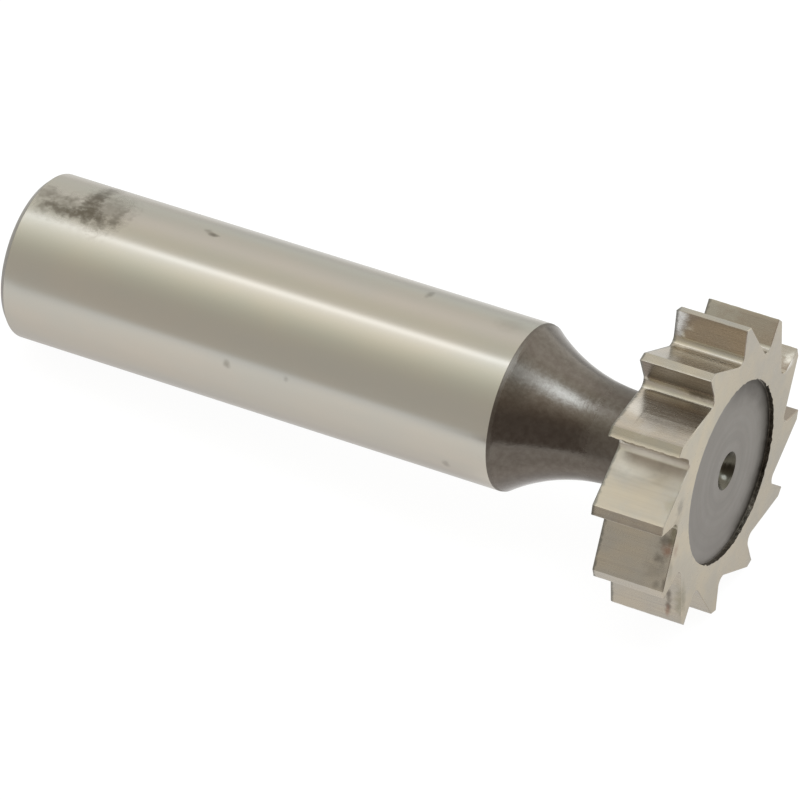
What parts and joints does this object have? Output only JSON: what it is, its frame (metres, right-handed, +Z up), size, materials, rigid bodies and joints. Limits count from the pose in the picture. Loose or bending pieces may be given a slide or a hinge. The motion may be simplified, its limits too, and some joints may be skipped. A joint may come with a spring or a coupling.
{
  "type": "woodruff keyseat cutter",
  "caption": "Milling cutter with a plain round shank, a concave neck and a straight-toothed disc head that cuts half-round key slots in shafts.",
  "frame": {"origin": "on the floor, under the middle of the cutter's box as it lies at rest", "axes": "+X towards the toothed head, along the cutter; +Z up; the axis rises about 5 degrees to the head"},
  "size_m": [0.0584, 0.0222, 0.0227],
  "materials": {
    "cutter_steel": "ground"
  },
  "bodies": {
    "root": {"keyseat_cutter": "cutter_steel"}
  },
  "joints": []
}
